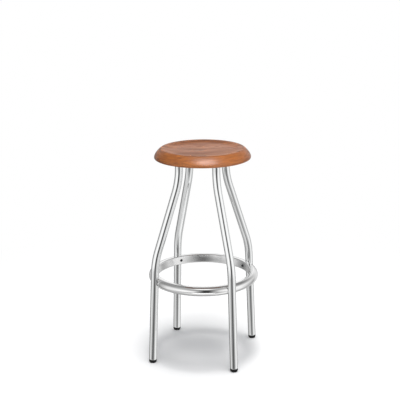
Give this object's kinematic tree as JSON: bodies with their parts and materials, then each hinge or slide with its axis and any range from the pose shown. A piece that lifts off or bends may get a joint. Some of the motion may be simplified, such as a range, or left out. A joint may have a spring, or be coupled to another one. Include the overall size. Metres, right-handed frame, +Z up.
{
  "type": "swivel bar stool",
  "caption": "Bar stool with a dished round wooden seat on a ball-bearing swivel, bent chrome tube legs, a footrest ring let into the legs and screw-levelled feet.",
  "frame": {"origin": "on the floor, under the swivel axis", "axes": "+Z up along the swivel axis, -Y to the front, +X to the right seen from the front; the legs stand on the diagonals"},
  "size_m": [0.3909, 0.391, 0.76],
  "materials": {
    "turned_wood": "turned hardwood, stained orange-brown, satin lacquer",
    "leg_chrome": "bright chrome on drawn steel tube and on the plate welded to it",
    "ring_chrome": "bright chrome on steel tube",
    "black_nylon": "moulded black nylon",
    "natural_nylon": "machined natural nylon",
    "cage_nylon": "moulded nylon",
    "plated_plate": "zinc-plated pressed steel",
    "zinc_fastener": "bright zinc plate",
    "dark_screw": "black oxide socket screw",
    "bearing_steel": "ground bearing steel",
    "bronze": "oiled bronze"
  },
  "bodies": {
    "frame": {"top_plate": "leg_chrome", "swivel_lower_plate": "plated_plate", "swivel_bolts": "zinc_fastener", "swivel_nuts": "zinc_fastener", "pivot_bolt": "zinc_fastener", "thrust_washer": "bronze", "pivot_washer": "zinc_fastener", "pivot_lock_nut": "zinc_fastener", "leg_front_left": "leg_chrome", "leg_front_right": "leg_chrome", "leg_back_right": "leg_chrome", "leg_back_left": "leg_chrome", "footrest_ring": "ring_chrome", "ring_screws": "dark_screw", "ring_spacers": "zinc_fastener", "leg_thread_bushes": "zinc_fastener", "leg_end_inserts": "black_nylon", "insert_nuts": "zinc_fastener"},
    "seat": {"seat": "turned_wood", "swivel_upper_plate": "plated_plate", "pivot_bush": "natural_nylon", "seat_screws": "zinc_fastener"},
    "ball_cage": {"ball_cage": "cage_nylon", "bearing_balls": "bearing_steel"},
    "pad_front_left": {"foot_pad_front_left": "black_nylon"},
    "stud_front_left": {"foot_stud_front_left": "zinc_fastener"},
    "pad_front_right": {"foot_pad_front_right": "black_nylon"},
    "stud_front_right": {"foot_stud_front_right": "zinc_fastener"},
    "pad_back_right": {"foot_pad_back_right": "black_nylon"},
    "stud_back_right": {"foot_stud_back_right": "zinc_fastener"},
    "pad_back_left": {"foot_pad_back_left": "black_nylon"},
    "stud_back_left": {"foot_stud_back_left": "zinc_fastener"}
  },
  "joints": [
    {"name": "seat_swivel", "type": "hinge", "parent": "frame", "child": "seat", "pos_m": [0, 0, 0.724], "axis": [0, 0, 1], "continuous": true},
    {"name": "cage_turn", "type": "hinge", "parent": "frame", "child": "ball_cage", "pos_m": [0, 0, 0.72395], "axis": [0, 0, 1], "continuous": true},
    {"name": "foot_level_front_left", "type": "slide", "parent": "frame", "child": "pad_front_left", "axis": [-0.0344, -0.0344, -0.9988], "range_m": [0, 0.00573]},
    {"name": "foot_screw_front_left", "type": "hinge", "parent": "pad_front_left", "child": "stud_front_left", "pos_m": [-0.14884, -0.14884, 0.00629], "axis": [-0.0344, -0.0344, -0.9988], "range_deg": [0, 1620]},
    {"name": "foot_level_front_right", "type": "slide", "parent": "frame", "child": "pad_front_right", "axis": [0.0344, -0.0344, -0.9988], "range_m": [0, 0.00573]},
    {"name": "foot_screw_front_right", "type": "hinge", "parent": "pad_front_right", "child": "stud_front_right", "pos_m": [0.14884, -0.14884, 0.00629], "axis": [0.0344, -0.0344, -0.9988], "range_deg": [0, 1620]},
    {"name": "foot_level_back_right", "type": "slide", "parent": "frame", "child": "pad_back_right", "axis": [0.0344, 0.0344, -0.9988], "range_m": [0, 0.00573]},
    {"name": "foot_screw_back_right", "type": "hinge", "parent": "pad_back_right", "child": "stud_back_right", "pos_m": [0.14884, 0.14884, 0.00629], "axis": [0.0344, 0.0344, -0.9988], "range_deg": [0, 1620]},
    {"name": "foot_level_back_left", "type": "slide", "parent": "frame", "child": "pad_back_left", "axis": [-0.0344, 0.0344, -0.9988], "range_m": [0, 0.00573]},
    {"name": "foot_screw_back_left", "type": "hinge", "parent": "pad_back_left", "child": "stud_back_left", "pos_m": [-0.14884, 0.14884, 0.00629], "axis": [-0.0344, 0.0344, -0.9988], "range_deg": [0, 1620]}
  ],
  "couplings": [
    {"joint": "cage_turn", "follows": "seat_swivel", "ratio": 0.5},
    {"joint": "foot_level_front_left", "follows": "foot_screw_front_left", "m_per_rad": 0.00019894},
    {"joint": "foot_level_front_right", "follows": "foot_screw_front_right", "m_per_rad": 0.00019894},
    {"joint": "foot_level_back_right", "follows": "foot_screw_back_right", "m_per_rad": 0.00019894},
    {"joint": "foot_level_back_left", "follows": "foot_screw_back_left", "m_per_rad": 0.00019894}
  ]
}
